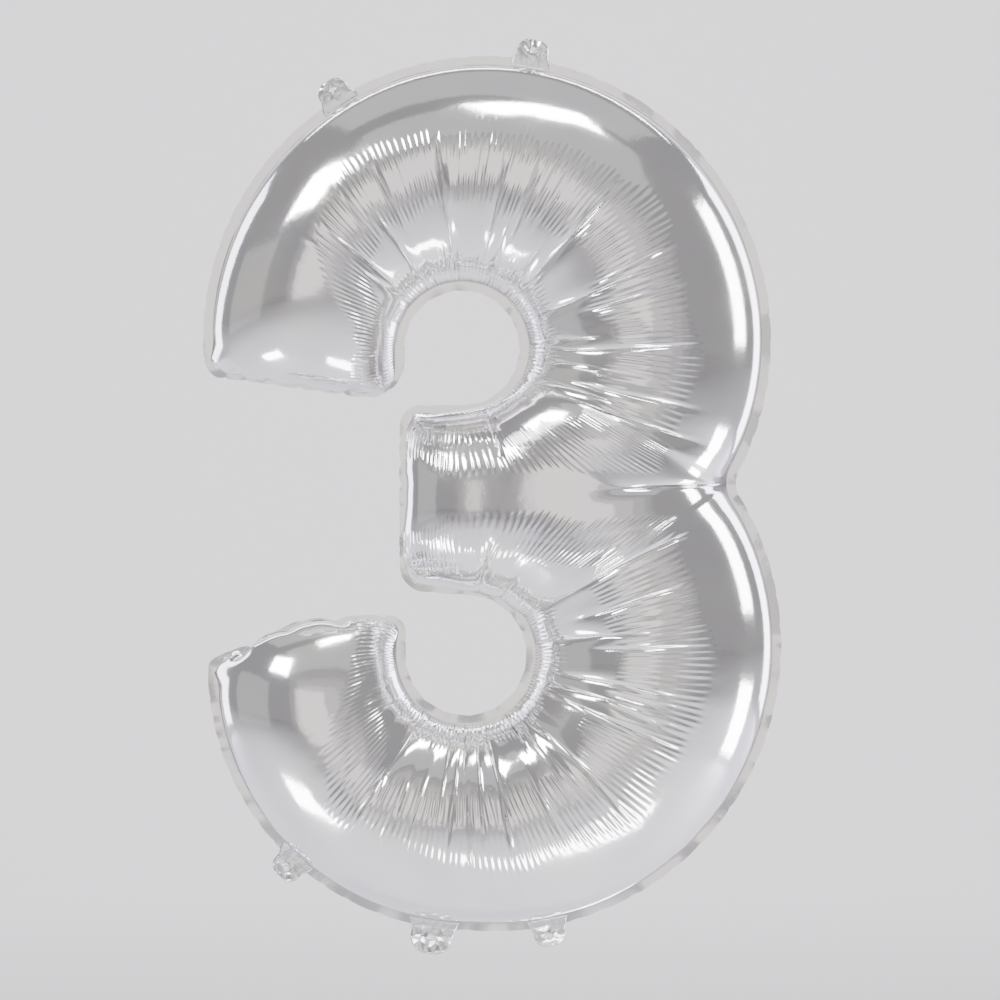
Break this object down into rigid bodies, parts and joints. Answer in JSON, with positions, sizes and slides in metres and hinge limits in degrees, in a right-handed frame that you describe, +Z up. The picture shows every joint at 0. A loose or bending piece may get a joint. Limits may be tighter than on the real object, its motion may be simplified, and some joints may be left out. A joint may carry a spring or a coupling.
{
  "type": "foil number balloon",
  "caption": "Inflated silver foil balloon in the shape of the digit three, with hanging tabs round its welded margin and a self-sealing inflation tail.",
  "frame": {"origin": "centre of the punched hole in the top hanging tab, on the middle plane between the two foil panels", "axes": "+Z up the figure, -Y towards the reader (the front), +X to the reader's right"},
  "size_m": [0.5494, 0.184, 0.8696],
  "materials": {
    "front_foil": "bright metallised film",
    "back_foil": "bright metallised film",
    "tab_film": "crumpled metallised film",
    "valve_film": "clear polyethylene film"
  },
  "bodies": {
    "balloon": {"front_foil_panel": "front_foil", "back_foil_panel": "back_foil", "valve_front_film": "valve_film", "valve_back_film": "valve_film"},
    "tab_top": {"hanging_tab_top": "tab_film"},
    "tab_upper_left": {"hanging_tab_upper_left": "tab_film"},
    "tab_lower_left": {"hanging_tab_lower_left": "tab_film"},
    "tab_bottom_right": {"hanging_tab_bottom_right": "tab_film"},
    "inflation_tail": {"inflation_tail": "tab_film"}
  },
  "joints": [
    {"name": "tab_top_flex", "type": "hinge", "parent": "balloon", "child": "tab_top", "pos_m": [-0.00136, 0, -0.00859], "axis": [-0.9877, 0, 0.1564], "range_deg": [-85, 85], "stiffness_Nm_per_rad": 0.0005},
    {"name": "tab_upper_left_flex", "type": "hinge", "parent": "balloon", "child": "tab_upper_left", "pos_m": [-0.18629, 0, -0.04588], "axis": [-0.8499, 0, -0.527], "range_deg": [-85, 85], "stiffness_Nm_per_rad": 0.0005},
    {"name": "tab_lower_left_flex", "type": "hinge", "parent": "balloon", "child": "tab_lower_left", "pos_m": [-0.22865, 0, -0.77163], "axis": [0.7373, 0, -0.6756], "range_deg": [-85, 85], "stiffness_Nm_per_rad": 0.0005},
    {"name": "tab_bottom_right_flex", "type": "hinge", "parent": "balloon", "child": "tab_bottom_right", "pos_m": [0.01456, 0, -0.83362], "axis": [0.9826, 0, 0.1857], "range_deg": [-85, 85], "stiffness_Nm_per_rad": 0.0005},
    {"name": "inflation_tail_flex", "type": "hinge", "parent": "balloon", "child": "inflation_tail", "pos_m": [-0.09509, 0, -0.83477], "axis": [0.99, 0, -0.1409], "range_deg": [-85, 85], "stiffness_Nm_per_rad": 0.0005}
  ]
}
